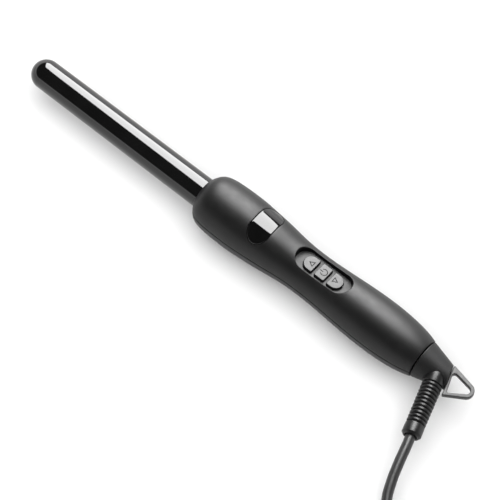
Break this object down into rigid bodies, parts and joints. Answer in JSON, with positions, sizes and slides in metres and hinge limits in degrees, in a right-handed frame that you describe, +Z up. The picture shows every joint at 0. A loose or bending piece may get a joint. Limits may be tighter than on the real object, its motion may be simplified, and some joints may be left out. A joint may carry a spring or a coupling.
{
  "type": "curling wand",
  "caption": "Clipless curling wand: round gloss barrel with a domed tip, waisted soft-touch handle with display and buttons, swivel cord end with strain relief and triangular hang loop.",
  "frame": {"origin": "on the table under the middle of the wand's length, from the barrel's tip to the hang loop's end", "axes": "+X along the wand from the barrel's tip to the cord end, +Z up out of the buttons, the cord leaves towards -Y"},
  "size_m": [0.4826, 0.1141, 0.0358],
  "materials": {
    "soft_touch": "soft-touch coated, satin matte black",
    "ceramic_coating": "aluminium tube with a gloss black ceramic coating",
    "smoked_lens": "polished smoked black",
    "button_plastic": "satin black",
    "textured_plastic": "fine spark-eroded texture, black",
    "flexible_plastic": "satin black flexible PVC",
    "cord_sheath": "satin black PVC sheath",
    "nickel": "nickel plated",
    "bare_aluminium": "extruded, as drawn",
    "ceramic_white": "unglazed white ceramic",
    "contact_brass": "polished contact",
    "wire_sleeve": "glass-silicone sleeve",
    "circuit_board": "solder resist",
    "cream_plastic": "moulded",
    "phenolic": "heat-resistant moulding"
  },
  "bodies": {
    "tail": {"tail_cap": "textured_plastic", "hang_loop": "flexible_plastic", "strain_relief": "flexible_plastic", "swivel_spindle": "phenolic", "spindle_clip": "nickel", "slip_ring_hub": "phenolic", "slip_ring_inner": "contact_brass", "slip_ring_outer": "contact_brass", "cord_lead": "cord_sheath", "cord_coil": "cord_sheath", "cord_tail": "cord_sheath", "cord_tie": "flexible_plastic", "plug_body": "flexible_plastic", "plug_pin_left": "nickel", "plug_pin_right": "nickel"},
    "handle": {"barrel": "ceramic_coating", "barrel_collar": "phenolic", "heat_spreader_upper": "bare_aluminium", "heat_spreader_lower": "bare_aluminium", "ceramic_heater": "ceramic_white", "thermistor": "contact_brass", "heater_lead_live": "wire_sleeve", "heater_lead_neutral": "wire_sleeve", "handle_upper_shell": "soft_touch", "handle_lower_shell": "soft_touch", "display_lens": "smoked_lens", "display_module": "smoked_lens", "control_board": "circuit_board", "film_capacitor": "cream_plastic", "heater_triac": "smoked_lens", "shell_screw_front": "nickel", "shell_screw_rear": "nickel", "temperature_down_switch": "nickel", "power_switch": "nickel", "temperature_up_switch": "nickel", "swivel_bush": "cream_plastic", "brush_holder": "phenolic", "brush_inner": "contact_brass", "brush_outer": "contact_brass"},
    "temperature_down_button": {"temperature_down_button": "button_plastic"},
    "power_button": {"power_button": "button_plastic"},
    "temperature_up_button": {"temperature_up_button": "button_plastic"}
  },
  "joints": [
    {"name": "cord_swivel", "type": "hinge", "parent": "tail", "child": "handle", "pos_m": [0.12, 0, 0.0179], "axis": [1, 0, 0], "continuous": true},
    {"name": "temperature_down_button_press", "type": "slide", "parent": "handle", "child": "temperature_down_button", "axis": [0, 0, 1], "range_m": [-0.0005, 0], "stiffness_N_per_m": 2500},
    {"name": "power_button_press", "type": "slide", "parent": "handle", "child": "power_button", "axis": [0, 0, 1], "range_m": [-0.0005, 0], "stiffness_N_per_m": 2500},
    {"name": "temperature_up_button_press", "type": "slide", "parent": "handle", "child": "temperature_up_button", "axis": [0, 0, 1], "range_m": [-0.0005, 0], "stiffness_N_per_m": 2500}
  ]
}
